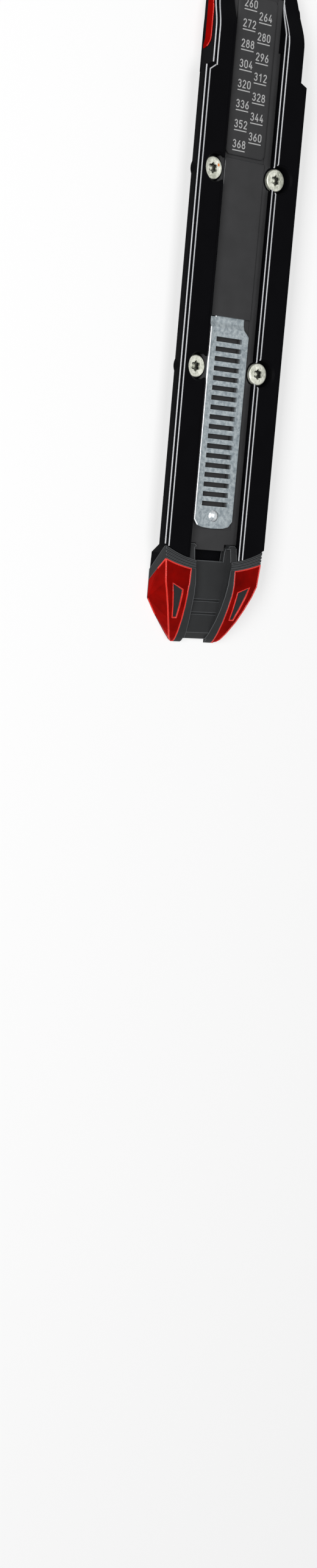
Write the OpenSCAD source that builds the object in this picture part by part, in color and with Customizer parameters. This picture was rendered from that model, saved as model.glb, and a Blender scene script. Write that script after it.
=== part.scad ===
/* [Track] */
// Width over the flanges that the heel unit's claws run under
track_w = 52.6; // [52:0.2:54]
// Height of the rail tops above the ski
track_h = 11.5; // [11:0.1:12.5]
// Clear width between the two rails at their lips
channel_w = 26; // [25.8:0.1:26.4]
// Depth of the channel's floor below the rail tops
channel_depth = 4.5; // [4.2:0.1:4.6]
// Distance from the screw centre back to the rails' outer rear corners
rail_back = 113.7; // [113:0.1:115]
// Radius of the curved rear ends of the rails
rail_end_r = 56; // [50:1:70]
// Distance from the screw centre forward to the front ends of the flanges
flange_front = 81; // [78:0.5:84]
// Thickness of a flange at its edge
flange_t = 1.6; // [1.3:0.1:1.9]
// Height of the step along each rail edge
lip_step = 0.5; // [0.3:0.1:0.7]
// Width of the step along each rail edge
lip_w = 1.55; // [1.2:0.05:1.9]
// Width of the body at the ski, under the flanges
foot_w = 42.8; // [42.8:0.2:44]

/* [Waist and nose] */
// Width of the waist where the heel unit is put on
neck_w = 46.2; // [46.2:0.2:47]
// Distance from the screw centre forward to the tip of the nose
nose_front = 124.2; // [122:0.2:130]
// Roundness of the nose seen from above: 2 is an ellipse, more is squarer
nose_power = 2.8; // [2.4:0.1:3.4]
// Where the rail tops begin to fall towards the nose
nose_fall_start = 94; // [93:0.5:96]
// Where the rail tops reach the nose platform
nose_fall_end = 111; // [108:0.5:112]
// How far the nose platform lies below the rail tops
nose_drop = 3.9; // [3.5:0.1:4.1]

/* [Side inserts] */
// Rear tip of an insert ahead of the screw centre
insert_rear = 87; // [85:0.5:90]
// Front end of an insert ahead of the screw centre
insert_front = 115; // [110:0.5:116]
// Height of an insert's upper edge above the ski
insert_top = 7.5; // [7:0.1:7.5]
// Height of an insert's stripe
insert_h = 5; // [4:0.1:5.2]

/* [Screws] */
// Spacing of the screws along the track
screw_dx = 80; // [78:0.5:82]
// Spacing of the screws across the track
screw_dy = 33; // [32.8:0.1:33.2]
// Thread diameter of the mounting screws
screw_d = 5.5; // [5:0.1:5.8]
// Diameter of the plain shank under a screw's head
shank_d = 4.6; // [4:0.1:4.8]
// Diameter of the screw heads
head_d = 9.2; // [8.8:0.1:9.6]
// Thickness of a screw head
head_t = 1.5; // [1.3:0.1:1.7]
// Depth of the screw heads' tops below the rail tops
head_depth = 3.3; // [3:0.1:3.4]
// Length of thread that reaches below the track
screw_reach = 8.5; // [7:0.5:10]
// Diameter of the pockets around the screw heads
pocket_d = 11.2; // [10.8:0.1:11.4]
// Diameter of the pockets' chamfered mouths
mouth_d = 12.8; // [12.4:0.1:13.2]

/* [Channel inserts] */
// Thickness of the liner under the channel's floor
liner_t = 2.4; // [2.3:0.1:2.8]
// Depth of the liner's groove for the plates and the rack
groove_depth = 0.3; // [0.2:0.05:0.4]
// Width of the groove
groove_w = 20.6; // [20.4:0.1:20.8]
// Length of the scale plate
scale_len = 64; // [62:0.2:64.4]
// Front end of the scale plate ahead of the screw centre
scale_front = 110.9; // [110:0.1:111]
// Thickness of the scale plate and the cover
plate_t = 1; // [0.8:0.05:1.1]
// Width of the scale plate's sloped rim
scale_rim = 1.2; // [0.8:0.1:1.4]
// Distance from the screw centre back to the cover's rear edge
cover_back = 18.4; // [17:0.2:19]

/* [Rack] */
// Number of slots that the heel unit's pawl meets
slot_count = 18; // [12:1:18]
// Distance from one slot to the next
slot_pitch = 4; // [3.6:0.1:4]
// Size of a slot along the track
slot_w = 2; // [1.6:0.1:2.3]
// Size of a slot across the track
slot_len = 13.5; // [12.5:0.1:14]
// Front edge of the first slot behind the screw centre
slot_start = 26.75; // [26:0.05:27.5]
// Width of the rack strip
rack_w = 20.2; // [19.8:0.1:20.2]
// Thickness of the rack strip
rack_t = 1.04; // [0.9:0.02:1.2]
// Depth of the notch beside the strip's front tab, on the right
tab_notch = 2.6; // [2:0.1:3.4]
// Rear end of the strip behind the screw centre
rack_back = 106; // [105.5:0.1:107]
// Diameter of the rivet's domed head
rivet_head_d = 5; // [4.6:0.1:5.6]
// Diameter of the rivet's shank
rivet_d = 3; // [2.6:0.1:3.2]

/* [Tail cap] */
// Length of the cap behind the rails' rear corners
cap_len = 41.1; // [39:0.1:45]
// Radius of the ribbed band's rear edge
band_r = 75; // [70:1:80]
// Number of ribs in the band
rib_count = 4; // [3:1:5]
// Depth of the grooves between the ribs
rib_depth = 0.5; // [0.3:0.05:0.7]
// Thickness of the lenses
lens_t = 2.2; // [1.8:0.1:2.6]
// Depth of the lens windows' pads below the lens face
pad_recess = 0.4; // [0.2:0.05:0.6]
// Length of the two clip ears ahead of the channel's rear end
ear_len = 7.5; // [6.5:0.1:8]

/* [Fits] */
// Gap between pieces that lie beside each other
seat_gap = 0.1; // [0.05:0.01:0.12]
// Gap between the cap and the track that it pulls off
slide_gap = 0.3; // [0.25:0.01:0.35]

/* [Hidden] */

$fn = 64;
eps = 0.01;
over = 1;
far = 60;

half_w = track_w / 2;
half_channel = channel_w / 2;
ledge_z = track_h - lip_step;
flange_z = ledge_z - flange_t;
platform_z = track_h - nose_drop;

floor_z = track_h - channel_depth;
liner_z = floor_z - liner_t;
groove_z = floor_z - groove_depth;
plate_top = groove_z + plate_t;
undercut = 1.2;
undercut_front = nose_fall_start - 3;
channel_front = scale_front + 1.3;

head_top = track_h - head_depth;
head_z = head_top - head_t;
screw_play = 0.25;
mouth_depth = (mouth_d - pocket_d) / 2;

// Centre of the arc on which the rails end
arc_x = -rail_back + sqrt(pow(rail_end_r, 2) - pow(half_w, 2));
rail_tip = arc_x - rail_end_r;

// Height of the rail tops at x: level, then falling in a smooth wave to the nose platform
function wave(t) = (1 - cos(180 * min(max(t, 0), 1))) / 2;
function top_z(x) = track_h - nose_drop * wave((x - nose_fall_start) / (nose_fall_end - nose_fall_start));

module both_sides() {
    children();
    mirror([0, 1, 0]) children();
}

module at_screws() {
    for (sx = [-1, 1], sy = [-1, 1]) translate([sx * screw_dx / 2, sy * screw_dy / 2, 0]) children();
}

// A box centred on the track's middle line
module bar(x0, x1, w, z0, z1) {
    translate([x0, -w / 2, z0]) cube([x1 - x0, w, z1 - z0]);
}

// A side view, drawn in X and Z, given a width centred on the middle line
module side_view(w) {
    translate([0, w / 2, 0]) rotate([90, 0, 0]) linear_extrude(w) children();
}

// ---------- Track body ----------
neck_start = 92;
neck_back = flange_front - 3;
step_slant = 2;

// Half width of the waist and nose at x
function neck_half(x) =
    neck_w / 2 * pow(1 - pow(min(max(x - neck_start, 0) / (nose_front - neck_start), 1), nose_power), 1 / nose_power);

module neck_outline(inset = 0) {
    steps = 28;
    side = [for (i = [0 : steps])
        let (t = sin(90 * i / steps), x = neck_start + (nose_front - inset - neck_start) * t)
            [x, max(neck_half(neck_start + (nose_front - neck_start) * t) - inset, 0)]];
    polygon(concat([[neck_back, neck_w / 2 - inset]], side, [for (i = [steps - 1 : -1 : 0]) [side[i][0], -side[i][1]]],
                   [[neck_back, -neck_w / 2 + inset]]));
}

// Drafted cross-section that the waist and the walls under the flanges share
module wall_section(grow = 0) {
    translate([-rail_back - far, 0, 0]) rotate([90, 0, 90]) linear_extrude(rail_back + far + nose_front + over)
        polygon([[-foot_w / 2 - grow, 0], [foot_w / 2 + grow, 0], [neck_w / 2 + grow, ledge_z],
                 [neck_w / 2 + grow, track_h + over], [-neck_w / 2 - grow, track_h + over],
                 [-neck_w / 2 - grow, ledge_z]]);
}

// Rear limit shared by every layer of the rails
module rear_limit() {
    translate([arc_x, 0]) circle(r = rail_end_r, $fn = 240);
    translate([arc_x, -far]) square([nose_front - arc_x, 2 * far]);
}

module flange_outline(inset = 0) {
    half = half_w - inset;
    front = flange_front - inset;
    intersection() {
        polygon([[-rail_back - far, -half], [front - step_slant, -half], [front, -neck_w / 2 + over],
                 [front, neck_w / 2 - over], [front - step_slant, half], [-rail_back - far, half]]);
        rear_limit();
    }
}

module web_outline() {
    intersection() {
        translate([-rail_back - far, -neck_w / 2]) square([rail_back + far + flange_front, neck_w]);
        rear_limit();
    }
}

// Side view that trims the nose; lower by the lip's step for the ledges
module nose_trim(lower = 0) {
    steps = 20;
    crest = [for (i = [0 : steps])
        let (x = nose_fall_start + (nose_fall_end - nose_fall_start) * i / steps) [x, top_z(x) - lower]];
    side_view(4 * far)
        polygon(concat([[-rail_back - far, 0], [-rail_back - far, track_h - lower]], crest,
                       [[nose_front - 7, platform_z - lower], [nose_front - 2.5, 5.6 - lower],
                        [nose_front + eps, 2.4], [nose_front + eps, 0]]));
}

// Flank behind each flange: it swings out to the full width and ends in a slope
wedge_top_x = -rail_back - 0.7;
wedge_slope = 1.08;
wedge_half = half_w - 1.1;
wedge_in = 0.31 * half_w;

module flank_slope(grow = 0) {
    side_view(4 * far)
        polygon([[-rail_back + 5, -over], [-rail_back + 5, flange_z + grow], [wedge_top_x - grow, flange_z + grow],
                 [wedge_top_x - 1.5 * grow - (flange_z + over) * wedge_slope, -over]]);
}

module flank_wedges(grow = 0) {
    intersection() {
        flank_slope(grow);
        both_sides() translate([0, 0, -grow]) linear_extrude(flange_z + 2 * grow)
            polygon([[-rail_back + 4, half_w - wedge_in - grow], [-rail_back + 4, foot_w / 2 - eps],
                     [-rail_back - 0.6, foot_w / 2 - eps], [-rail_back - 4, wedge_half - 0.3 + grow],
                     [-rail_back - 4, wedge_half - 0.3], [-rail_back - 15, wedge_half + grow],
                     [-rail_back - 15, half_w - wedge_in - grow]]);
    }
}

module channel_space() {
    bar(-rail_back - far, channel_front, channel_w, liner_z, track_h + over);
    bar(-rail_back - far, channel_front - 4, channel_w + 2 * lip_w, ledge_z, track_h + over);
    bar(-rail_back - far, undercut_front, channel_w + 2 * undercut, liner_z, flange_z);
}

module track_body() {
    color("#0a0a0c") difference() {
        union() {
            difference() {
                union() {
                    intersection() {
                        union() {
                            translate([0, 0, flange_z]) linear_extrude(flange_t) flange_outline();
                            intersection() {
                                union() {
                                    linear_extrude(flange_z + eps) web_outline();
                                    linear_extrude(ledge_z) neck_outline();
                                }
                                wall_section();
                            }
                        }
                        nose_trim(lip_step);
                    }
                    intersection() {
                        union() {
                            translate([0, 0, flange_z + eps]) linear_extrude(track_h) flange_outline(lip_w);
                            translate([0, 0, eps]) linear_extrude(track_h) neck_outline(lip_w);
                        }
                        nose_trim();
                    }
                    flank_wedges();
                }
                channel_space();
            }
            at_screws() cylinder(d = pocket_d - 2 * seat_gap, h = head_z);
        }
        at_screws() {
            translate([0, 0, head_z]) cylinder(d = pocket_d, h = track_h);
            translate([0, 0, track_h - mouth_depth])
                cylinder(d1 = pocket_d, d2 = mouth_d + (mouth_d - pocket_d) * over / mouth_depth, h = mouth_depth + over);
            translate([0, 0, -over]) cylinder(d = screw_d + 2 * screw_play, h = track_h);
        }
        both_sides() insert_slab(seat_gap, over);
        translate([rivet_x, 0, liner_z - rivet_foot_t - seat_gap]) cylinder(d = rivet_foot_d + 0.4, h = track_h);
    }
}

// ---------- Side inserts ----------
insert_in = 19.2;

// Side view of an insert: a stripe whose rear end curls down to a point
module insert_view(grow = 0) {
    low = insert_top - insert_h;
    curl = [for (a = [0 : 15 : 90])
        [insert_rear - grow + 4.2 * (1 - cos(a)), 1.4 - grow + (insert_top - 1.4 + 2 * grow) * sin(a)]];
    polygon(concat(curl, [[insert_front - 6, insert_top + grow], [insert_front + grow, insert_top - 2.4],
                          [insert_front + grow, low + 1], [insert_front - 2, low - grow],
                          [insert_rear + 4, low - grow], [insert_rear + 1.2, 1.3 - grow]]));
}

module insert_slab(grow, proud) {
    inner = insert_in - grow;
    translate([0, inner + 8, 0]) rotate([90, 0, 0]) linear_extrude(8) insert_view(grow);
}

module side_insert() {
    intersection() {
        insert_slab(0, 0);
        wall_section(0.12);
        linear_extrude(track_h) neck_outline(-0.12);
    }
}

module side_insert_left() {
    color("#8f0a06") side_insert();
}

module side_insert_right() {
    color("#8f0a06") mirror([0, 1, 0]) side_insert();
}

// ---------- Channel liner ----------
liner_back = -rail_back - 1.5;
liner_rim_w = 0.5;
liner_rim_h = 0.5;
trench_w = 11.8;
trench_depth = 1.2;

module channel_liner() {
    wide = channel_w + 2 * undercut - 1.2;
    narrow = channel_w - 2 * seat_gap;
    front = channel_front - seat_gap;
    color("#313131") difference() {
        union() {
            bar(liner_back, undercut_front - seat_gap, wide, liner_z, floor_z);
            bar(liner_back, front, narrow, liner_z, floor_z);
            both_sides() translate([liner_back, wide / 2 - liner_rim_w, liner_z])
                cube([undercut_front - seat_gap - liner_back, liner_rim_w, liner_t + liner_rim_h]);
        }
        // Groove for the scale plate, the cover and the rack
        bar(-rack_back - 0.4, front + over, groove_w, groove_z, track_h);
        // Trench under the slots, and the deeper seat of the strip's tab
        bar(-rack_back + 8, -slot_start + 2, trench_w, groove_z - trench_depth, track_h);
        translate([-slot_start + 1, -tab_right - 0.3, tab_z - seat_gap])
            cube([slot_start - cover_back + tab_hidden, tab_right + 0.3 + groove_w / 2, track_h]);
        at_screws() translate([0, 0, -over]) cylinder(d = pocket_d, h = track_h);
        // Room for the cap's ears
        both_sides() translate([liner_back - over, ear_in - slide_gap, 0])
            cube([ear_front + slide_gap - liner_back + over, far, track_h]);
        translate([rivet_x, 0, -over]) cylinder(d = rivet_d + 0.1, h = track_h);
    }
}

// ---------- Scale plate ----------
plate_r = 2.2;

module rounded_plate(x0, x1, w, r) {
    translate([x0 + r, -w / 2]) square([x1 - x0 - 2 * r, w]);
    translate([x0, -w / 2 + r]) square([x1 - x0, w - 2 * r]);
    for (x = [x0 + r, x1 - r], s = [-1, 1]) translate([x, s * (w / 2 - r)]) circle(r = r);
}

module scale_plate() {
    x0 = scale_front - scale_len;
    w = groove_w - 2 * seat_gap;
    rim_steps = 4;
    color("#343434") for (i = [0 : rim_steps])
        let (a = 90 * i / rim_steps, inset = scale_rim * (1 - cos(a)), low = plate_t / 2)
            translate([0, 0, groove_z]) linear_extrude(low + (plate_t - low) * sin(a))
                rounded_plate(x0 + inset, scale_front - inset, w - 2 * inset, plate_r);
}

// ---------- Cover ----------
tab_hidden = 8;
cover_skin = 0.65;

module channel_cover() {
    front = scale_front - scale_len - 1.6;
    color("#323232") difference() {
        bar(-cover_back, front, groove_w - 2 * seat_gap, groove_z, plate_top);
        bar(-cover_back - over, -cover_back + tab_hidden + 0.6, 2 * tab_right + 0.6, groove_z - over,
            plate_top - cover_skin);
    }
}

// ---------- Rack ----------
rivet_inset = 5.2;
rivet_x = -rack_back + rivet_inset;
rivet_rise = 1.16;
rivet_foot_d = 5.6;
rivet_foot_t = 0.8;
tab_root = cover_back + 4.6;
ramp_len = 2;
tab_top = plate_top - cover_skin - seat_gap;
tab_z = tab_top - rack_t;
rack_top = groove_z + rack_t;
tab_right = rack_w / 2 - tab_notch;

module rack_outline() {
    half = rack_w / 2;
    tail = [[-rack_back + 3.4, half], [-rack_back + 1.1, half - 1.8], [-rack_back + 0.3, half - 4.6],
            [-rack_back, 0.8]];
    difference() {
        polygon(concat([[-tab_root, -tab_right], [-tab_root, half]], tail,
                       [for (i = [3 : -1 : 0]) [tail[i][0], -tail[i][1]]],
                       [[-tab_root - 2.5, -half], [-tab_root - 1.7, -half + 0.7]]));
        for (i = [0 : slot_count - 1])
            translate([-slot_start - i * slot_pitch - slot_w, -slot_len / 2]) square([slot_w, slot_len]);
        translate([rivet_x, 0]) circle(d = rivet_d + 0.1);
    }
}

module rack_strip() {
    end = -cover_back + tab_hidden;
    bend = -tab_root + ramp_len;
    color("#b4b9bd") {
        translate([0, 0, groove_z]) linear_extrude(rack_t) rack_outline();
        difference() {
            side_view(rack_w)
                polygon([[-tab_root - eps, groove_z], [-tab_root - eps, rack_top], [-tab_root, rack_top],
                         [bend, tab_top], [end, tab_top], [end, tab_z], [bend - 0.3, tab_z]]);
            // The notch on the right, and the narrower end under the cover
            translate([-tab_root - over, -tab_right - far, 0]) cube([far, far, track_h]);
            translate([-cover_back - 0.4, tab_right, 0]) cube([far, far, track_h]);
        }
    }
}

module rack_rivet() {
    r = rivet_head_d / 2;
    ball = (r * r + rivet_rise * rivet_rise) / (2 * rivet_rise);
    color("#c3c6c8") translate([rivet_x, 0, 0]) {
        intersection() {
            translate([0, 0, rack_top + rivet_rise - ball]) sphere(r = ball);
            translate([0, 0, rack_top]) cylinder(r = r + 1, h = rivet_rise + 1);
        }
        translate([0, 0, liner_z - rivet_foot_t]) cylinder(d = rivet_d, h = rack_top - liner_z + rivet_foot_t + eps);
        translate([0, 0, liner_z - rivet_foot_t]) cylinder(d = rivet_foot_d, h = rivet_foot_t);
    }
}

// ---------- Mounting screws ----------
module mounting_screws() {
    edge = 0.45;
    rim = [for (a = [0 : 15 : 90]) [head_d / 2 - edge * (1 - cos(a)), head_t - edge + edge * sin(a)]];
    point = 2.5;
    color("#c9ccc6") at_screws() difference() {
        union() {
            translate([0, 0, head_z]) rotate_extrude() polygon(concat([[0, 0], [head_d / 2, 0]], rim, [[0, head_t]]));
            translate([0, 0, -eps]) cylinder(d = shank_d, h = head_z + 2 * eps);
            translate([0, 0, -screw_reach + point]) cylinder(d = screw_d, h = screw_reach - point);
            translate([0, 0, -screw_reach]) cylinder(d1 = 2.2, d2 = screw_d, h = point + eps);
        }
        // Drive recess
        translate([0, 0, head_top - 1]) {
            for (a = [0 : 60 : 120]) rotate(a) translate([-2, -0.65, 0]) cube([4, 1.3, 2]);
            cylinder(d = 3.2, h = 2);
        }
    }
}

// ---------- Tail cap ----------
band_x = -rail_back - 0.15 * cap_len + sqrt(pow(band_r, 2) - pow(half_w - 1.3, 2));
cap_back = -rail_back - cap_len;
tongue_back = cap_back + 0.04 * cap_len;
ear_in = 0.3 * half_w;
ear_front = rail_tip + ear_len;

// Place behind the rails' rear corners, as a share of the cap's length
function behind(share) = -rail_back - share * cap_len;

// Ridge where the cap's top and flank meet, from the rails to the tail: shares of length, half width and height
ridge = [[-0.015, 0.97, 1], [0.119, 0.958, 1], [0.38, 0.92, 0.991], [0.494, 0.858, 0.918], [0.623, 0.778, 0.78],
         [0.762, 0.688, 0.59], [0.891, 0.586, 0.355], [0.959, 0.524, 0.19], [0.988, 0.47, 0.09]];
// Lower outline of the flank, on the ski: shares of length and half width
foot = [[-0.015, 0.966], [0.567, 0.962], [0.706, 0.818], [0.905, 0.574], [0.978, 0.475], [1, 0.42]];

// Convex form of the whole cap, set in on every face by the given distance
module cap_form(inset = 0) {
    hull() both_sides() {
        for (p = ridge)
            translate([behind(p[0]) + 0.3 * inset, p[1] * half_w - inset, p[2] * ledge_z - inset])
                cube(eps, center = true);
        for (p = foot)
            translate([behind(p[0]) + 0.3 * inset, p[1] * half_w - inset, eps / 2]) cube(eps, center = true);
    }
}

// Everything behind the arc on which the rails end
module behind_rails(gap) {
    difference() {
        bar(cap_back - over, 0, 4 * half_w, -over, track_h + over);
        translate([arc_x, 0, -2 * over]) cylinder(r = rail_end_r + gap, h = track_h + 4 * over, $fn = 240);
        translate([arc_x, -far, -2 * over]) cube([far + rail_back, 2 * far, track_h + 4 * over]);
    }
}

// Inner edge of the left lens beside the ridge, and the corners of its window: shares of length and half width
lens_edge = [[0, 0.437], [0.263, 0.441], [0.457, 0.449], [0.579, 0.437], [0.786, 0.414], [1.03, 0.384]];
window = [[0.392, 0.776, -1, -1.5], [0.453, 0.559, -1, 1], [0.745, 0.54, 1, 1], [0.745, 0.616, 1, -1]];
lens_slope = 0.92;

// Space of the left lens: behind the ribbed band and the skirt, outboard of the ridges
module lens_space(grow = 0) {
    top = behind(0.141) + grow;
    intersection() {
        difference() {
            bar(cap_back - over, -rail_back, 4 * half_w, 0.2 - grow, track_h + over);
            translate([band_x, 0, -2 * over])
                cylinder(r = band_r - grow, h = track_h + 4 * over, $fn = 240);
        }
        side_view(4 * far)
            polygon([[top + over * lens_slope, ledge_z + over], [top - (ledge_z + over) * lens_slope, -over],
                     [cap_back - far, -over], [cap_back - far, ledge_z + over]]);
        translate([0, 0, -over]) linear_extrude(track_h + 2 * over)
            polygon(concat([for (p = lens_edge) [behind(p[0]), p[1] * half_w - grow]],
                           [[behind(1.03), far], [-rail_back, far]]));
    }
}

// Window in the left lens
module lens_window(shrink = 0) {
    translate([0, 0, -over]) linear_extrude(track_h + 2 * over)
        polygon([for (p = window) [behind(p[0]) + p[2] * shrink, p[1] * half_w + p[3] * shrink]]);
}

module tail_lens() {
    difference() {
        intersection() {
            cap_form();
            lens_space();
        }
        cap_form(lens_t);
        lens_window();
    }
}

module tail_lens_left() {
    color("#8f0a06") tail_lens();
}

module tail_lens_right() {
    color("#8f0a06") mirror([0, 1, 0]) tail_lens();
}

module lens_pad() {
    difference() {
        intersection() {
            cap_form(pad_recess);
            lens_window(seat_gap);
        }
        cap_form(lens_t + seat_gap);
    }
}

module lens_pad_left() {
    color("#2c2d2e") lens_pad();
}

module lens_pad_right() {
    color("#2c2d2e") mirror([0, 1, 0]) lens_pad();
}

// Corners of the tongue's way in front and behind: shares of half width and height, from the bottom up
way_front = [[0.27, 0], [0.27, 0.627], [0.319, 0.845], [0.384, 1.01], [0.384, 1.41]];
way_rear = [[0.186, 0], [0.186, 0.182], [0.213, 0.418], [0.24, 0.582], [0.24, 0.82]];

// Sunken way of the tongue between the two ridges, wide in front and narrow behind
module tongue_way() {
    hull() both_sides() {
        for (p = way_front) translate([rail_tip + 6, p[0] * half_w, p[1] * ledge_z]) cube(eps, center = true);
        for (p = way_rear) translate([cap_back - over, p[0] * half_w, p[1] * ledge_z]) cube(eps, center = true);
    }
}

tongue_front = rail_tip + 0.6;
tongue_top = floor_z + 0.4;
step_gap = 0.7;
step_deep = 1;

// Top line of the tongue: three steps parted by cross grooves, then the tail's slope
steps = [[0.389, 0.4], [0.543, 0.1], [0.564, 0], [0.679, -0.7], [0.701, -1], [0.835, -2.9], [0.895, -3.4]];

module tongue_view() {
    line = [for (p = steps) [behind(p[0]), floor_z * (1 + p[1] / 7)]];
    groove_1 = [[line[1][0], line[1][1] - step_deep], [line[1][0] - step_gap, line[1][1] - step_deep]];
    groove_2 = [[line[3][0], line[3][1] - step_deep], [line[3][0] - step_gap, line[3][1] - step_deep]];
    polygon(concat([[tongue_front + far, -over], [tongue_front + far, tongue_top], [line[0][0], tongue_top]],
                   [line[1]], groove_1, [line[2]], [line[3]], groove_2, [line[4]], [line[5]], [line[6]],
                   [[tongue_back, floor_z * 0.17], [tongue_back - over, -over]]));
}

// Front end of the tongue, which reaches over the floor of the channel
module tongue_nose() {
    low = liner_z + slide_gap;
    side_view(2 * 0.26 * half_w)
        polygon([[rail_tip - 2, low], [tongue_front - 0.4, low], [tongue_front, low + 0.4],
                 [tongue_front, tongue_top - 0.2], [tongue_front - 0.2, tongue_top], [rail_tip - 2, tongue_top]]);
}

// Grooves between the ribs of the band, on arcs that part from the rails' ends
module rib_grooves() {
    for (i = [1 : rib_count - 1])
        let (t = i / rib_count, r = rail_end_r + (band_r - rail_end_r) * t, x = arc_x - 0.3 + (band_x - arc_x) * t)
            difference() {
                bar(x - r - 0.22, -rail_back, 4 * half_w, ledge_z - rib_depth, track_h + over);
                translate([x, 0, 0]) cylinder(r = r - 0.22, h = track_h + 2, $fn = 200);
                outside_circle(x, r + 0.22);
            }
}

// Everything outside a circle, as far as the cap reaches
module outside_circle(x, r) {
    difference() {
        bar(cap_back - far, far, 4 * far, 0, track_h + 2);
        translate([x, 0, -over]) cylinder(r = r, h = track_h + 4, $fn = 200);
    }
}

// Ears that clip into the channel between the rails
module cap_ear() {
    out = half_channel - slide_gap;
    root = rail_tip - 2;
    intersection() {
        linear_extrude(track_h)
            polygon([[ear_front, ear_in + 1.6], [ear_front, out - 0.8], [ear_front - 0.8, out], [root, out],
                     [root, ear_in - 0.6], [ear_front - 0.4 * ear_len, ear_in], [ear_front - 1.4, ear_in + 0.3]]);
        side_view(4 * half_w)
            polygon([[ear_front + over, liner_z + slide_gap], [ear_front + over, floor_z + 1.6],
                     [ear_front - 1, floor_z + 2.1], [root, ledge_z - 0.4], [root, liner_z + slide_gap]]);
    }
}

// Room in front of the skirts for the track's sloped flanks, which the cap pulls straight back from
module flank_room() {
    both_sides() intersection() {
        flank_slope(slide_gap);
        translate([-rail_back - far, half_w - wedge_in - slide_gap, -over]) cube([2 * far, far, 2 * track_h]);
    }
}

module cap_core() {
    color("#2f2f31") difference() {
        union() {
            intersection() {
                cap_form();
                behind_rails(slide_gap);
            }
            both_sides() cap_ear();
            tongue_nose();
        }
        flank_room();
        both_sides() difference() {
            lens_space(seat_gap);
            cap_form(lens_t + seat_gap);
        }
        difference() {
            tongue_way();
            side_view(2 * half_w) tongue_view();
        }
        rib_grooves();
        bar(cap_back - over, tongue_back, 2 * 0.24 * half_w, -over, track_h);
    }
}

track_body();
channel_liner();
scale_plate();
channel_cover();
rack_strip();
rack_rivet();
mounting_screws();
side_insert_left();
side_insert_right();
cap_core();
tail_lens_left();
tail_lens_right();
lens_pad_left();
lens_pad_right();
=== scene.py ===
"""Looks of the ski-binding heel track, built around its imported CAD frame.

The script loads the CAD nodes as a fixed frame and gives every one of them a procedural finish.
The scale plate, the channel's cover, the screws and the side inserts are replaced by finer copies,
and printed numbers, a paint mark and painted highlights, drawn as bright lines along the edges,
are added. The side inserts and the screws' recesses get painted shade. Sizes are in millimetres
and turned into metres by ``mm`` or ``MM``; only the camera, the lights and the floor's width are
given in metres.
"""

from __future__ import annotations

import logging
import math
from dataclasses import dataclass
from enum import Enum

import bmesh  # noqa: E402
import bpy  # noqa: E402
from mathutils import Matrix, Vector  # noqa: E402


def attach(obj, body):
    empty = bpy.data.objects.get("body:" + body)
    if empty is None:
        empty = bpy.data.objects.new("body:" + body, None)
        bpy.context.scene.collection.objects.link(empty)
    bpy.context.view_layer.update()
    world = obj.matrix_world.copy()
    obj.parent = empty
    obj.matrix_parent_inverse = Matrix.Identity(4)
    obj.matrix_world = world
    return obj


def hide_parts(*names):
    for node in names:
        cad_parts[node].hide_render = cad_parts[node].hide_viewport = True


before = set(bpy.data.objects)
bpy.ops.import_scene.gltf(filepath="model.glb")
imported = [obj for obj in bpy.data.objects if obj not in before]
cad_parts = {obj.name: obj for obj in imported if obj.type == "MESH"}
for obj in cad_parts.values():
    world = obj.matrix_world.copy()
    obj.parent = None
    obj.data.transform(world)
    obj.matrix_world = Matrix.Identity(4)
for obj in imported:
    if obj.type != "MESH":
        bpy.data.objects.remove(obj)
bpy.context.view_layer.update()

LOG = logging.getLogger("heel_track")
MM = 0.001

Spot = tuple[float, float]
Point = tuple[float, float, float]
Stroke = list[Spot]


def mm(*values: float) -> tuple[float, ...]:
    """Turns millimetres into metres.

    Args:
        values: Lengths in millimetres.

    Returns:
        The same lengths in metres.
    """
    return tuple(v * MM for v in values)


def linear(hex_colour: str) -> tuple[float, float, float, float]:
    """Turns an sRGB hex colour into linear RGBA.

    Args:
        hex_colour: Six hex digits, with or without a leading hash.

    Returns:
        Linear red, green, blue and an alpha of one.
    """
    digits = hex_colour.lstrip("#")
    channels = (int(digits[i : i + 2], 16) / 255 for i in (0, 2, 4))
    r, g, b = (c / 12.92 if c <= 0.04045 else ((c + 0.055) / 1.055) ** 2.4 for c in channels)
    return (r, g, b, 1.0)


class Body(Enum):
    """The CAD bodies that pieces ride on."""

    TRACK = "track"
    CAP = "tail_cap"


class Slot(Enum):
    """The record's material slots."""

    BLACK = "black_plastic"
    GREY = "grey_plastic"
    CAP = "cap_plastic"
    PAD = "pad_plastic"
    ZINC = "zinc_steel"
    RIVET = "rivet_steel"
    SCREW = "screw_steel"
    RED = "red_lens"


class Extra(Enum):
    """Materials that belong to no slot of their own: painted highlights on edges, painted shade,
    ink and paint.
    """

    BLACK_EDGE = "polished_black_nylon_edge"
    GREY_EDGE = "polished_grey_nylon_edge"
    ZINC_EDGE = "painted_highlight_zinc_edge"
    RED_EDGE = "bright_red_polycarbonate_edge"
    SHADED_RED = "painted_shade_red_polycarbonate_insert"
    RECESS = "painted_shade_zinc_drive_recess"
    SCALE_INK = "pale_grey_pad_print_ink"
    MARK_PAINT = "orange_inspection_paint"


# ---------- Finishes ----------
# Noise seldom leaves this span, so a range mapped from it is used in full.
NOISE = {"From_Min": 0.3, "From_Max": 0.7}


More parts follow.
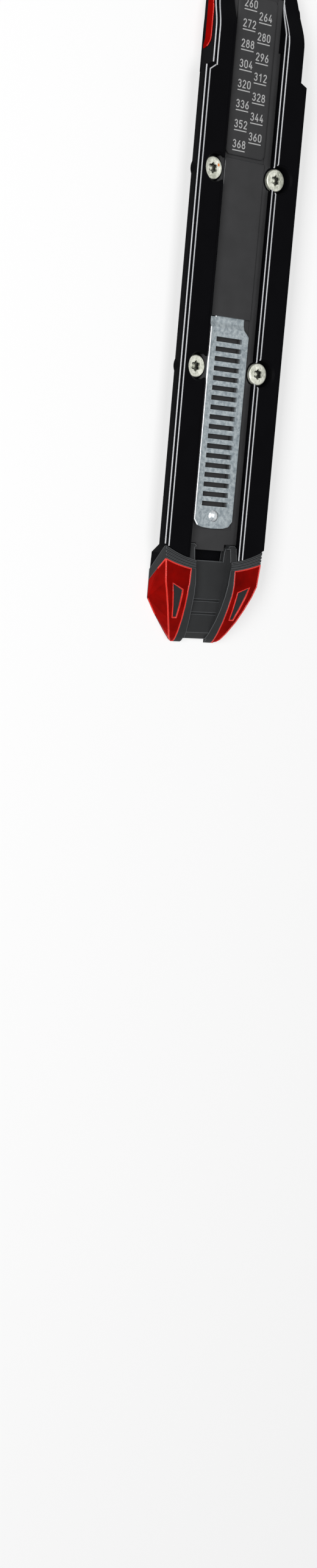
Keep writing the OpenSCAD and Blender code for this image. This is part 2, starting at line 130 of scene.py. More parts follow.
class Shader:
    """The node tree of a material or of the sky, with one way to add a node."""

    def __init__(self, name: str, sky: bpy.types.World | None = None) -> None:
        """Starts an empty tree.

        Args:
            name: The material's name.
            sky: The world, where the tree is the sky's.
        """
        self.owner = sky or bpy.data.materials.new(name)
        self.output = "OutputWorld" if sky else "OutputMaterial"
        self.owner.use_nodes = True
        self.tree = self.owner.node_tree
        self.tree.nodes.clear()

    def add(self, kind: str, settings: dict | None = None, **sockets: object) -> bpy.types.Node:
        """Adds a node.

        Args:
            kind: The node's type without the ``ShaderNode`` prefix.
            settings: Attributes set on the node itself.
            sockets: Inputs by socket name with spaces written as underscores, or ``in`` and the
                input's index. A node output is linked and anything else is set as the value.

        Returns:
            The new node.
        """
        node = self.tree.nodes.new(f"ShaderNode{kind}")
        for key, value in (settings or {}).items():
            setattr(node, key, value)
        for key, value in sockets.items():
            by_index = key.startswith("in") and key[2:].isdigit()
            socket = node.inputs[int(key[2:]) if by_index else key.replace("_", " ")]
            if isinstance(value, bpy.types.NodeSocket):
                self.tree.links.new(value, socket)
            else:
                socket.default_value = value
        return node

    def looked_at(self) -> bpy.types.NodeSocket:
        """Tells rays from the camera, mirrors and clear parts from the rays that light the object.

        Returns:
            A socket that gives 1 for the first kind and 0 for the second.
        """
        path = self.add("LightPath").outputs
        total = path["Is Camera Ray"]
        for kind in ("Is Glossy Ray", "Is Transmission Ray"):
            both = self.add("Math", {"operation": "ADD"}, in0=total, in1=path[kind])
            total = both.outputs["Value"]
        return total

    def close(self, surface: bpy.types.NodeSocket) -> bpy.types.Material:
        """Links the surface to the output.

        Args:
            surface: The shader socket to show.

        Returns:
            The finished material, or the sky.
        """
        self.add(self.output, Surface=surface)
        return self.owner


@dataclass(frozen=True)
class MouldedPlastic:
    """Glass-filled nylon from a spark-eroded mould: dark, with a grain that breaks up its sheen."""

    name: str
    colour: str
    roughness: float
    sheen_level: float
    uneven: Spot = (-0.05, 0.07)
    grain_mm: float = 0.25  # the real grain is about 0.1 mm, and is drawn coarser to show
    deep_mm: float = 0.006
    cloud_mm: float = 9.0
    mottle: float = 0.1

    def make(self) -> bpy.types.Material:
        """Builds the material.

        Returns:
            The material.
        """
        sh = Shader(self.name)
        place = sh.add("TexCoord").outputs["Object"]
        grain = sh.add(
            "TexNoise", Vector=place, Scale=1 / (self.grain_mm * MM), Detail=3.0, Roughness=0.6
        )
        cloud = sh.add("TexNoise", Vector=place, Scale=1 / (self.cloud_mm * MM), Detail=2.0)
        tone = sh.add(
            "MapRange", Value=cloud.outputs["Fac"], **NOISE,
            To_Min=1 - self.mottle, To_Max=1 + self.mottle,
        )
        shade = sh.add(
            "VectorMath", {"operation": "SCALE"},
            in0=linear(self.colour)[:3], Scale=tone.outputs["Result"],
        )
        rough = sh.add(
            "MapRange", Value=grain.outputs["Fac"], **NOISE,
            To_Min=self.roughness + self.uneven[0], To_Max=self.roughness + self.uneven[1],
        )
        bump = sh.add("Bump", Strength=0.5, Distance=self.deep_mm * MM, Height=grain.outputs["Fac"])
        return sh.close(sh.add(
            "BsdfPrincipled", Base_Color=shade.outputs["Vector"],
            Roughness=rough.outputs["Result"], Specular_IOR_Level=self.sheen_level,
            Normal=bump.outputs["Normal"],
        ).outputs["BSDF"])


@dataclass(frozen=True)
class WornEdge:
    """Pale finish on a moulding's edge beads and chamfers: a painted highlight, shown as a thin
    line.
    """

    name: str
    colour: str
    roughness: float = 0.3
    sheen_level: float = 0.9
    uneven: Spot = (-0.06, 0.08)
    wear_mm: float = 6.0

    def make(self) -> bpy.types.Material:
        """Builds the material.

        Returns:
            The material.
        """
        sh = Shader(self.name)
        place = sh.add("TexCoord").outputs["Object"]
        wear = sh.add("TexNoise", Vector=place, Scale=1 / (self.wear_mm * MM), Detail=4.0)
        rough = sh.add(
            "MapRange", Value=wear.outputs["Fac"], From_Min=0.35, From_Max=0.65,
            To_Min=self.roughness + self.uneven[0], To_Max=self.roughness + self.uneven[1],
        )
        return sh.close(sh.add(
            "BsdfPrincipled", Base_Color=linear(self.colour), Roughness=rough.outputs["Result"],
            Specular_IOR_Level=self.sheen_level,
        ).outputs["BSDF"])


@dataclass(frozen=True)
class ZincPlate:
    """Zinc-plated steel: mottled by the crystals of its plating, soft in its reflections."""

    name: str
    light: str
    dark: str
    metal: float
    roughness: float = 0.55
    uneven: Spot = (-0.1, 0.1)
    spangle_mm: float = 1.1  # real plated crystals are far finer, and are drawn coarser to show
    stain_spangles: float = 5.0
    grain_mm: float = 0.22
    deep_mm: float = 0.012

    def make(self) -> bpy.types.Material:
        """Builds the material.

        Returns:
            The material.
        """
        sh = Shader(self.name)
        place = sh.add("TexCoord").outputs["Object"]
        spangle = sh.add(
            "TexNoise", Vector=place, Scale=1 / (self.spangle_mm * MM), Detail=5.0, Roughness=0.7
        )
        stain_mm = self.stain_spangles * self.spangle_mm
        stain = sh.add("TexNoise", Vector=place, Scale=1 / (stain_mm * MM), Detail=2.0)
        grain = sh.add("TexNoise", Vector=place, Scale=1 / (self.grain_mm * MM), Detail=3.0)
        both = sh.add(
            "Math", {"operation": "ADD"}, in0=spangle.outputs["Fac"], in1=stain.outputs["Fac"]
        )
        mix = sh.add("MapRange", Value=both.outputs["Value"], From_Min=0.78, From_Max=1.2)
        tint = sh.add(
            "Mix", {"data_type": "RGBA"}, in0=mix.outputs["Result"],
            in6=linear(self.dark), in7=linear(self.light),
        )
        rough = sh.add(
            "MapRange", Value=grain.outputs["Fac"], **NOISE,
            To_Min=self.roughness + self.uneven[0], To_Max=self.roughness + self.uneven[1],
        )
        bump = sh.add("Bump", Strength=0.5, Distance=self.deep_mm * MM, Height=grain.outputs["Fac"])
        return sh.close(sh.add(
            "BsdfPrincipled", Base_Color=tint.outputs[2], Metallic=self.metal,
            Roughness=rough.outputs["Result"], Normal=bump.outputs["Normal"],
        ).outputs["BSDF"])


@dataclass(frozen=True)
class ClearRed:
    """Injection-moulded red polycarbonate: dark seen straight on, with painted light as brighter
    red where it turns away.
    """

    name: str
    deep: str
    bright: str
    roughness: float = 0.14
    gloss: float = 0.12
    # An emission in the bright colour: a painted glow.
    glow: float = 0.0
    flow_mm: float = 7.0
    turn: float = 0.42
    ior: float = 1.58

    def make(self) -> bpy.types.Material:
        """Builds the material.

        Returns:
            The material.
        """
        sh = Shader(self.name)
        place = sh.add("TexCoord").outputs["Object"]
        flow = sh.add("TexNoise", Vector=place, Scale=1 / (self.flow_mm * MM), Detail=2.0)
        # Painted light: the colour brightens where the surface turns away from the view.
        turn = sh.add("LayerWeight", Blend=self.turn)
        both = sh.add(
            "Math", {"operation": "MULTIPLY_ADD"},
            in0=flow.outputs["Fac"], in1=0.5, in2=turn.outputs["Facing"],
        )
        level = sh.add("MapRange", Value=both.outputs["Value"], From_Min=0.3, From_Max=0.95)
        tint = sh.add(
            "Mix", {"data_type": "RGBA"}, in0=level.outputs["Result"],
            in6=linear(self.deep), in7=linear(self.bright),
        )
        return sh.close(sh.add(
            "BsdfPrincipled", Base_Color=tint.outputs[2], Roughness=self.roughness, IOR=self.ior,
            Specular_IOR_Level=self.gloss,
            Emission_Color=linear(self.bright), Emission_Strength=self.glow,
        ).outputs["BSDF"])


@dataclass(frozen=True)
class Ink:
    """Pad-printed ink or brushed paint: thin and matt, with a slightly uneven cover."""

    name: str
    colour: str
    roughness: float = 0.55
    cover_mm: float = 0.4

    def make(self) -> bpy.types.Material:
        """Builds the material.

        Returns:
            The material.
        """
        sh = Shader(self.name)
        place = sh.add("TexCoord").outputs["Object"]
        cover = sh.add("TexNoise", Vector=place, Scale=1 / (self.cover_mm * MM), Detail=2.0)
        tone = sh.add("MapRange", Value=cover.outputs["Fac"], **NOISE, To_Min=0.85, To_Max=1.0)
        shade = sh.add(
            "VectorMath", {"operation": "SCALE"},
            in0=linear(self.colour)[:3], Scale=tone.outputs["Result"],
        )
        return sh.close(sh.add(
            "BsdfPrincipled", Base_Color=shade.outputs["Vector"], Roughness=self.roughness,
        ).outputs["BSDF"])


Finish = MouldedPlastic | WornEdge | ZincPlate | ClearRed | Ink

FINISHES: dict[Slot | Extra, Finish] = {
    # Moulded glass-filled nylon: almost black, and the grain leaves only a faint sheen.
    Slot.BLACK: MouldedPlastic(
        "black_glass_filled_nylon", "08080a", roughness=0.45, sheen_level=0.015
    ),
    # Nylon from a matt mould: an even dark grey without highlights, lighter than the body.
    Slot.GREY: MouldedPlastic("dark_grey_matt_nylon", "313132", roughness=0.6, sheen_level=0.15),
    # Nylon from a deeply eroded mould: fine speckles of light on the cap's slopes.
    Slot.CAP: MouldedPlastic(
        "dark_grey_grained_nylon", "28292a", roughness=0.48, sheen_level=0.12, deep_mm=0.01
    ),
    # Moulded nylon pad: a flat dark field between the red lenses.
    Slot.PAD: MouldedPlastic("dark_grey_pad_nylon", "252627", roughness=0.5, sheen_level=0.1),
    # Pressed and zinc-plated strip: blue-grey and finely mottled, with blurred reflections.
    Slot.ZINC: ZincPlate(
        "zinc_plated_pressed_steel", "a3abae", "727c82", metal=0.55, spangle_mm=0.32
    ),
    # Pressed rivet head, zinc plated and smooth: a small bright dome with a clear highlight.
    Slot.RIVET: ZincPlate(
        "zinc_plated_rivet_steel", "d6dadc", "8b9297", metal=0.9, roughness=0.32, spangle_mm=0.6
    ),
    # Cold-formed screws, yellow zinc plated: pale with a green tint, the brightest metal here.
    Slot.SCREW: ZincPlate(
        "yellow_zinc_plated_screw_steel", "dcddd1", "a0a395", metal=0.6, roughness=0.4,
        spangle_mm=0.7,
    ),
    # Moulded polycarbonate lens: deep red straight on, with painted light as brighter red where it
    # turns away.
    Slot.RED: ClearRed("clear_red_polycarbonate", "5e0402", "b00a04", gloss=0.012),
    # Painted highlight: a pale colour on the beads along the rails' lit edges, drawn as thin lines.
    Extra.BLACK_EDGE: WornEdge(Extra.BLACK_EDGE.value, "a4a5a8"),
    # Painted highlight: grey beads and chamfers a little lighter than the moulding, drawn as lines.
    Extra.GREY_EDGE: WornEdge(Extra.GREY_EDGE.value, "3c3e40", roughness=0.38, sheen_level=0.35),
    # Painted highlight: white metal on the beads along the strip's lit rim, drawn as a bright line.
    Extra.ZINC_EDGE: ZincPlate(Extra.ZINC_EDGE.value, "ffffff", "d8dee2", metal=0.7, roughness=0.4),
    # Painted highlight and painted glow: bright red with a faint emission on the beads along the
    # red parts' upper edges.
    Extra.RED_EDGE: ClearRed(Extra.RED_EDGE.value, "c2160b", "f03a28", gloss=0.25, glow=0.03),
    # Painted shade: a darker copy of the red polycarbonate, without reflections, for the insert
    # under the flange.
    Extra.SHADED_RED: ClearRed(Extra.SHADED_RED.value, "520302", "960804", roughness=0.3, gloss=0),
    # Painted shade: plated steel painted nearly black down in the drive recesses, where little
    # light comes.
    Extra.RECESS: ZincPlate(
        Extra.RECESS.value, "5c5d58", "1e1f1d", metal=0.9, roughness=0.3, spangle_mm=0.5
    ),
    # Pad-printed ink: matt light grey that stands out from the plate.
    Extra.SCALE_INK: Ink(Extra.SCALE_INK.value, "a8a8a8"),
    # A dab of brushed paint: a small matt orange spot on one screw head.
    Extra.MARK_PAINT: Ink(Extra.MARK_PAINT.value, "d8792e"),
}
Materials = dict[Slot | Extra, bpy.types.Material]


# ---------- Stage ----------
@dataclass(frozen=True)
class Camera:
    """The picture's camera: a long lens from the left, rolled so that the track runs upwards."""

    place_m: Point = (-0.0995, 0.5524, 0.7264)
    right: Point = (0.08626, -0.8053, 0.58655)
    up: Point = (0.98803, -0.00644, -0.15415)
    back: Point = (0.12791, 0.59283, 0.79511)
    lens_mm: float = 48.91
    sensor_mm: float = 36.0
    clip_m: Spot = (0.01, 20.0)

    def build(self) -> None:
        """Adds the camera and makes it the scene's."""
        data = bpy.data.cameras.new("picture_camera")
        data.sensor_fit = "VERTICAL"
        data.sensor_height = data.sensor_width = self.sensor_mm
        data.lens = self.lens_mm
        data.clip_start, data.clip_end = self.clip_m
        cam = bpy.data.objects.new("picture_camera", data)
        turn = Matrix((self.right, self.up, self.back)).transposed().to_4x4()
        cam.matrix_world = Matrix.Translation(self.place_m) @ turn
        bpy.context.scene.collection.objects.link(cam)
        bpy.context.scene.camera = cam


@dataclass(frozen=True)
class Softbox:
    """An oblong white studio light, placed and sized in metres, that faces the origin."""

    name: str
    place: Point
    size: Spot
    watts: float

    def build(self) -> None:
        """Adds the light."""
        data = bpy.data.lights.new(self.name, "AREA")
        data.shape = "RECTANGLE"
        data.size, data.size_y = self.size
        data.energy = self.watts
        lamp = bpy.data.objects.new(self.name, data)
        lamp.location = self.place
        lamp.rotation_mode = "QUATERNION"
        lamp.rotation_quaternion = (-Vector(self.place)).to_track_quat("-Z", "Y")
        bpy.context.scene.collection.objects.link(lamp)


@dataclass(frozen=True)
class Studio:
    """Pale floor, soft lights, and a sky that looks white but lights the object only dimly."""

    floor_size_m: float = 12.0
    floor_colour: str = "f2f2f2"
    paleness: float = 0.6
    sky_level: float = 0.1
    lights: tuple[Softbox, ...] = (
        Softbox("key_left", (0.0, 1.15, 0.85), (1.6, 0.45), 21),
        Softbox("overhead", (0.0, 0.0, 1.6), (1.2, 0.8), 12),
    )

    def build(self) -> None:
        """Adds the floor, the sky and the lights."""
        self._build_floor()
        self._build_sky()
        for light in self.lights:
            light.build()

    def _build_floor(self) -> None:
        """Adds the floor at Z = 0: white paper that looks whiter than it lights the object."""
        mesh = bpy.data.meshes.new("studio_floor")
        bm = bmesh.new()
        bmesh.ops.create_grid(bm, x_segments=1, y_segments=1, size=self.floor_size_m / 2)
        bm.to_mesh(mesh)
        bm.free()
        floor = bpy.data.objects.new("studio_floor", mesh)
        bpy.context.scene.collection.objects.link(floor)
        sh = Shader("pale_studio_floor")
        paper = sh.add(
            "BsdfPrincipled", Base_Color=linear(self.floor_colour), Roughness=0.9,
            Specular_IOR_Level=0.1,
        )
        share = sh.add("MapRange", Value=sh.looked_at(), To_Max=self.paleness)
        white = sh.add("Emission", Color=(1, 1, 1, 1), Strength=1.0)
        mesh.materials.append(sh.close(sh.add(
            "MixShader", Fac=share.outputs["Result"],
            in1=paper.outputs["BSDF"], in2=white.outputs["Emission"],
        ).outputs["Shader"]))

    def _build_sky(self) -> None:
        """Adds the sky, white where it is looked at and dim where it lights the object."""
        world = bpy.data.worlds.new("studio_sky")
        bpy.context.scene.world = world
        sky = Shader("studio_sky", world)
        level = sky.add("MapRange", Value=sky.looked_at(), To_Min=self.sky_level, To_Max=1.0)
        white = sky.add("Background", Color=(1, 1, 1, 1), Strength=level.outputs["Result"])
        sky.close(white.outputs["Background"])


# ---------- Meshes ----------
# Corners nearer than the first are welded, and faces that turn less than the second are joined.
WELD_MM = 0.002
FLAT_DEG = 0.3


def clean_copy(node: str) -> bmesh.types.BMesh:
    """Copies a CAD node's mesh, welded and without its flat seams.

    Args:
        node: The node's name.

    Returns:
        The copy, in metres.
    """
    bm = bmesh.new()
    bm.from_mesh(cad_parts[node].data)
    bmesh.ops.remove_doubles(bm, verts=bm.verts, dist=WELD_MM * MM)
    bmesh.ops.dissolve_limit(bm, angle_limit=math.radians(FLAT_DEG), verts=bm.verts, edges=bm.edges)
    return bm


def add_piece(
    bm: bmesh.types.BMesh,
    name: str,
    body: Body,
    finishes: list[bpy.types.Material],
    smooth_deg: float = 30,
) -> bpy.types.Object:
    """Turns mesh data into a dressed piece that rides on a body.

    Args:
        bm: The mesh, in metres; it is freed.
        name: The piece's name.
        body: The body it rides on.
        finishes: Its materials, in the order of the faces' material indices.
        smooth_deg: Edges that turn less than this are shaded smooth.

    Returns:
        The new object.
    """
    mesh = bpy.data.meshes.new(name)
    bm.to_mesh(mesh)
    bm.free()
    mesh.shade_smooth()
    mesh.set_sharp_from_angle(angle=math.radians(smooth_deg))
    piece = bpy.data.objects.new(name, mesh)
    bpy.context.scene.collection.objects.link(piece)
    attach(piece, body.value)
    for finish in finishes:
        mesh.materials.append(finish)
    LOG.info("made %s on %s: %d faces", name, body.value, len(mesh.polygons))
    return piece


def add_bars(
    name: str,
    paths: list[list[Point]],
    radius_mm: float,
    body: Body,
    finish: bpy.types.Material,
) -> None:
    """Lays thin round bars along paths, as one piece that rides on a body.

    Args:
        name: The piece's name.
        paths: The bars' centre lines, in metres.
        radius_mm: The bars' radius.
        body: The body they ride on.
        finish: Their material.
    """
    curve = bpy.data.curves.new(name, "CURVE")
    curve.dimensions = "3D"
    curve.bevel_depth = radius_mm * MM
    curve.bevel_resolution = 2
    curve.use_fill_caps = True
    for path in paths:
        spline = curve.splines.new("POLY")
        spline.points.add(len(path) - 1)
        for target, point in zip(spline.points, path):
            target.co = (*point, 1.0)
    curve.materials.append(finish)
    bars = bpy.data.objects.new(name, curve)
    bpy.context.scene.collection.objects.link(bars)
    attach(bars, body.value)
    LOG.info("laid %s on %s: %d bars", name, body.value, len(paths))


def chains(edges: set[bmesh.types.BMEdge]) -> list[list[bmesh.types.BMVert]]:
    """Joins edges into open or closed chains.

    Args:
        edges: The edges to join.

    Returns:
        Lists of vertices in order.
    """
    left = set(edges)
    found = []
    while left:
        start = min(left, key=lambda e: e.index)
        left.discard(start)
        chain = list(start.verts)
        for end in (0, -1):
            while True:
                at = chain[end]
                ways = [e for e in at.link_edges if e in edges]
                following = next((e for e in ways if e in left), None)
                if following is None or len(ways) != 2:
                    break
                left.discard(following)
                other = following.other_vert(at)
                chain.insert(0, other) if end == 0 else chain.append(other)
        found.append(chain)
    return found


@dataclass(frozen=True)
class Beads:
    """Round bars half sunk in a node's sharp edges, as rolled rims, that carry painted highlights.

    An edge gets a bead where the face that is turned up more has a normal whose upward part lies
    within ``reach``, where a normal points left by at least ``lit_side``, and above ``above_z_mm``.
    The last two let every edge through by default.
    """

    finish: Extra
    radius_mm: float
    sunk: float = 0.6
    least_deg: float = 40.0
    least_len_mm: float = 0.3
    reach: Spot = (-1.0, 1.0)
    lit_side: float = -1.1
    above_z_mm: float = -100.0

    def lay(
        self, bm: bmesh.types.BMesh, node: str, body: Body, slot: Slot, materials: Materials
    ) -> None:
        """Lays a bar along every chain of sharp convex edges.

        Args:
            bm: The mesh whose edges are followed; it is freed.
            node: The node's name.
            body: The body the beads ride on.
            slot: Not used.
            materials: The finished materials.
        """
        bm.normal_update()
        wanted = {e for e in bm.edges if self._is_sharp(e)}
        paths = [[self._sink(vert, wanted) for vert in chain] for chain in chains(wanted)]
        bm.free()
        add_bars(f"{node}.beads", paths, self.radius_mm, body, materials[self.finish])

    def _is_sharp(self, edge: bmesh.types.BMEdge) -> bool:
        """Tells whether an edge gets a bead.

        Args:
            edge: The edge.

        Returns:
            True for a convex, sharp edge that is long, lit and high enough.
        """
        if not edge.is_manifold or edge.calc_face_angle_signed() < math.radians(self.least_deg):
            return False
        if edge.calc_length() < self.least_len_mm * MM:
            return False
        if max(face.normal.y for face in edge.link_faces) < self.lit_side:
            return False
        if min(vert.co.z for vert in edge.verts) < self.above_z_mm * MM:
            return False
        up = max(face.normal.z for face in edge.link_faces)
        return self.reach[0] < up <= self.reach[1]

    def _sink(self, vert: bmesh.types.BMVert, wanted: set[bmesh.types.BMEdge]) -> Vector:
        """Moves a bead's centre into the solid.

        Args:
            vert: A corner of the chain.
            wanted: The edges that carry beads.

        Returns:
            The centre, in metres.
        """
        out = Vector()
        for edge in vert.link_edges:
            if edge in wanted:
                for face in edge.link_faces:
                    out += face.normal
        return vert.co - out.normalized() * self.radius_mm * self.sunk * MM


# ---------- Pieces that follow a CAD node ----------
@dataclass(frozen=True)
class PlainNode:
    """A CAD node that keeps its shape and gets its finish, and where wanted beads on its edges."""

    node: str
    slot: Slot
    body: Body = Body.TRACK
    beads: Beads | None = None

    def build(self, materials: Materials) -> None:
        """Gives the node its material and lays its beads.

        Args:
            materials: The finished materials.
        """
        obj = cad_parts[self.node]
        obj.data.materials.clear()
        obj.data.materials.append(materials[self.slot])
        LOG.info("dressed %s as %s", self.node, self.slot.value)
        if self.beads:
            self.beads.lay(clean_copy(self.node), self.node, self.body, self.slot, materials)


@dataclass(frozen=True)
class ChannelCover:
    """The plain grey cover between scale and rack, with a narrow chamfer on its edges that carries
    a painted highlight.
    """

    node: str = "channel_cover"
    width_mm: float = 0.12
    least_deg: float = 55.0
    smooth_deg: float = 22.0

    def build(self, materials: Materials) -> None:
        """Makes a chamfered copy that stands for the node.

        Args:
            materials: The finished materials.
        """
        bm = clean_copy(self.node)
        least = math.radians(self.least_deg)
        highlight_edges = [e for e in bm.edges if e.is_manifold and e.calc_face_angle_signed() >= least]
        bmesh.ops.bevel(
            bm, geom=highlight_edges, offset=self.width_mm * MM, offset_type="OFFSET", segments=1,
            profile=0.5, affect="EDGES", clamp_overlap=False, material=1,
        )
        # The chamfer faces, material 1, get the painted highlight.
        finishes = [materials[Slot.GREY], materials[Extra.GREY_EDGE]]
        name = f"{self.node}.edged"
        piece = add_piece(bm, name, Body.TRACK, finishes, self.smooth_deg)
        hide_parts(self.node)


@dataclass(frozen=True)
class NoseWave:
    """The wave in which the rails' tops fall towards the nose, as the CAD source draws it."""

    start_mm: int = 94
    length_mm: float = 17.0
    top_mm: float = 11.5
    drop_mm: float = 3.9

    def top(self, x: float) -> float:
        """Gives the height of the rails' tops.

        Args:
            x: Distance ahead of the screw centre in millimetres.

        Returns:
            The height above the ski in millimetres.
        """
        share = min(max((x - self.start_mm) / self.length_mm, 0), 1)
        return self.top_mm - self.drop_mm * (1 - math.cos(math.pi * share)) / 2


NOSE = NoseWave()


@dataclass(frozen=True)
class SideInsert:
    """A red insert in the waist's flank, lowered under the falling nose below a black lip.

    The lip has the node's own shape. The red copy stands for the node just outside it, in
    painted-shade red.
    """

    node: str
    beads: Beads | None = None
    cover_mm: float = 1.7
    proud_mm: float = 0.04
    cuts_end_mm: int = 115
    cut_step_mm: int = 2

    def build(self, materials: Materials) -> None:
        """Makes the red copy, its black lip and its beads.

        Args:
            materials: The finished materials.
        """
        # The red copy gets the darker red, which is painted shade.
        red, black = [materials[Extra.SHADED_RED]], [materials[Slot.BLACK]]
        copy = add_piece(self._lowered(), f"{self.node}.trimmed", Body.TRACK, red)
        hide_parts(self.node)
        add_piece(clean_copy(self.node), f"{self.node}.lip", Body.TRACK, black)
        if self.beads:
            self.beads.lay(self._lowered(), self.node, Body.TRACK, Slot.RED, materials)

    def _lowered(self) -> bmesh.types.BMesh:
        """Copies the insert with its top under the falling nose.

        Returns:
            The copy, cut crosswise so that its top can follow the wave.
        """
        bm = clean_copy(self.node)
        for x in range(NOSE.start_mm, self.cuts_end_mm, self.cut_step_mm):
            everything = [*bm.verts, *bm.edges, *bm.faces]
            bmesh.ops.bisect_plane(bm, geom=everything, plane_co=mm(x, 0, 0), plane_no=(1, 0, 0))
        for vert in bm.verts:
            vert.co.z = min(vert.co.z, (NOSE.top(vert.co.x / MM) - self.cover_mm) * MM)
            vert.co.y += math.copysign(self.proud_mm * MM, vert.co.y)
        return bm


@dataclass(frozen=True)
class NoseLine:
    """The painted highlight line of the right rail's lip, carried on over the nose to the scale
    plate.
    """

    start_mm: float = 97.2
    end_mm: float = 110.5
    side_mm: float = -14.55
    inward_mm: float = 1.25
    radius_mm: float = 0.3
    sunk: float = 0.45
    steps: int = 24

    def build(self, materials: Materials) -> None:
        """Lays the line.

        Args:
            materials: The finished materials.
        """
        path = []
        for i in range(self.steps + 1):
            share = i / self.steps
            x = self.start_mm + (self.end_mm - self.start_mm) * share
            y = self.side_mm + self.inward_mm * share**2
            path.append(mm(x, y, NOSE.top(x) - self.sunk * self.radius_mm))
        finish = materials[Extra.BLACK_EDGE]
        add_bars("nose_line", [path], self.radius_mm, Body.TRACK, finish)


# ---------- Scale ----------
def arc(
    cx: float, cy: float, rx: float, ry: float, start: float, end: float, steps: int = 10
) -> Stroke:
    """Lists points on an elliptical arc.

    Args:
        cx: Centre across.
        cy: Centre up.
        rx: Radius across.
        ry: Radius up.
        start: First angle in degrees.
        end: Last angle in degrees.
        steps: Number of pieces.

    Returns:
        The points, both ends included.
    """
    angles = (math.radians(start + (end - start) * i / steps) for i in range(steps + 1))
    return [(cx + rx * math.cos(a), cy + ry * math.sin(a)) for a in angles]


def heading(a: Spot, b: Spot) -> float:
    """Gives the direction from a to b in radians."""
    return math.atan2(b[1] - a[1], b[0] - a[0])


def polar(r: float, turn: float, z: float) -> Point:
    """Gives the point at a radius, an angle in radians and a height."""
    return (r * math.cos(turn), r * math.sin(turn), z)


# Narrow engraver's numerals: centre lines in a box 0.5 wide and 1 high.
SIX: list[Stroke] = [
    [(0.36, 1.0), (0.2, 0.76), (0.05, 0.44), (0.02, 0.3)],
    arc(0.25, 0.28, 0.23, 0.28, 180, 540, 24),
]
DIGITS: dict[str, list[Stroke]] = {
    "0": [
        arc(0.25, 0.74, 0.23, 0.26, 0, 180) + arc(0.25, 0.26, 0.23, 0.26, 180, 360)
        + [(0.48, 0.74)]
    ],
    "1": [[(0.08, 0.78), (0.32, 1.0), (0.32, 0.0)]],
    "2": [arc(0.25, 0.75, 0.22, 0.25, 165, -30, 12) + [(0.02, 0.0), (0.49, 0.0)]],
    "3": [arc(0.24, 0.77, 0.21, 0.23, 155, -88, 12), arc(0.24, 0.27, 0.24, 0.27, 88, -155, 12)],
    "4": [[(0.3, 1.0), (0.01, 0.24), (0.49, 0.24)], [(0.37, 0.5), (0.37, 0.0)]],
    "5": [[(0.46, 1.0), (0.06, 1.0), (0.04, 0.56)] + arc(0.24, 0.32, 0.24, 0.32, 125, -150, 14)],
    "6": SIX,
    "7": [[(0.01, 1.0), (0.48, 1.0), (0.17, 0.0)]],
    "8": [arc(0.25, 0.77, 0.2, 0.23, 0, 360, 20), arc(0.25, 0.27, 0.24, 0.27, 0, 360, 20)],
    "9": [[(0.5 - x, 1.0 - y) for x, y in stroke] for stroke in SIX],
}


class Ribbons:
    """Flat strokes of ink: thin raised bands that follow centre lines in a level plane."""

    sharpest: float = math.radians(50)
    end_deg: tuple[int, ...] = (30, 60, 90, 120, 150)
    # Strokes that cross lie at different heights, so that their faces don't flicker.
    stagger_mm: float = 0.004
    stagger_steps: int = 4
    rooted_mm: float = 0.01
    same_mm: float = 1e-6

    def __init__(self, z_mm: float, width_mm: float, thick_mm: float = 0.04) -> None:
        """Starts an empty mesh.

        Args:
            z_mm: Height of the face that carries the ink.
            width_mm: Width of a stroke.
            thick_mm: Thickness of the ink.
        """
        self.bm = bmesh.new()
        self.z, self.half, self.thick = z_mm, width_mm / 2, thick_mm
        self.level = z_mm + thick_mm
        self.strokes = 0

    def draw(self, points: Stroke) -> None:
        """Lays one stroke with round ends; a sharp corner splits it in two.

        Args:
            points: The centre line in the frame's X and Y, in millimetres.
        """
        for i in range(1, len(points) - 1):
            turn = heading(points[i], points[i + 1]) - heading(points[i - 1], points[i])
            if abs(math.remainder(turn, 2 * math.pi)) > self.sharpest:
                self.draw(points[: i + 1])
                self.draw(points[i:])
                return
        closed = math.dist(points[0], points[-1]) < self.same_mm
        self.strokes += 1
        stagger = self.stagger_mm * (self.strokes % self.stagger_steps)
        self.level = self.z + self.thick + stagger
        rows = []
        last = len(points) - 1
        for i, spot in enumerate(points):
            ax, ay = points[-2 if closed and i == 0 else max(i - 1, 0)]
            bx, by = points[1 if closed and i == last else min(i + 1, last)]
            dx, dy = bx - ax, by - ay
            length = math.hypot(dx, dy) or 1.0
            side = (-dy / length * self.half, dx / length * self.half)
            rows.append((spot, side, (dx / length, dy / length)))
        left = [(x + side[0], y + side[1]) for (x, y), side, _ in rows]
        right = [(x - side[0], y - side[1]) for (x, y), side, _ in rows]
        for quad in zip(left, left[1:], right[1:], right):
            self._prism(list(quad))
        if not closed:
            near = [self._end(*rows[0], -1, a) for a in reversed(self.end_deg)]
            self._prism([right[0], *near, left[0]])
            far = [self._end(*rows[-1], 1, a) for a in self.end_deg]
            self._prism([left[-1], *far, right[-1]])

    def _end(self, spot: Spot, side: Spot, along: Spot, way: int, angle: float) -> Spot:
        """Places a point on a stroke's round end.

        Args:
            spot: End of the centre line.
            side: Half-width vector to the stroke's left.
            along: Unit vector along the stroke.
            way: 1 at the far end and -1 at the near end.
            angle: Degrees from the left side around the end.

        Returns:
            The point.
        """
        c = math.cos(math.radians(angle))
        s = math.sin(math.radians(angle)) * self.half * way
        return (spot[0] + side[0] * c + along[0] * s, spot[1] + side[1] * c + along[1] * s)

    def _prism(self, outline: Stroke) -> None:
        """Adds the top and the sides of a low prism.

        Args:
            outline: Its corners in order.
        """
        root = self.z - self.rooted_mm
        top = [self.bm.verts.new(mm(x, y, self.level)) for x, y in outline]
        low = [self.bm.verts.new(mm(x, y, root)) for x, y in outline]
        self.bm.faces.new(top)
        for i in range(len(top)):
            k = (i + 1) % len(top)
            self.bm.faces.new((top[i], low[i], low[k], top[k]))


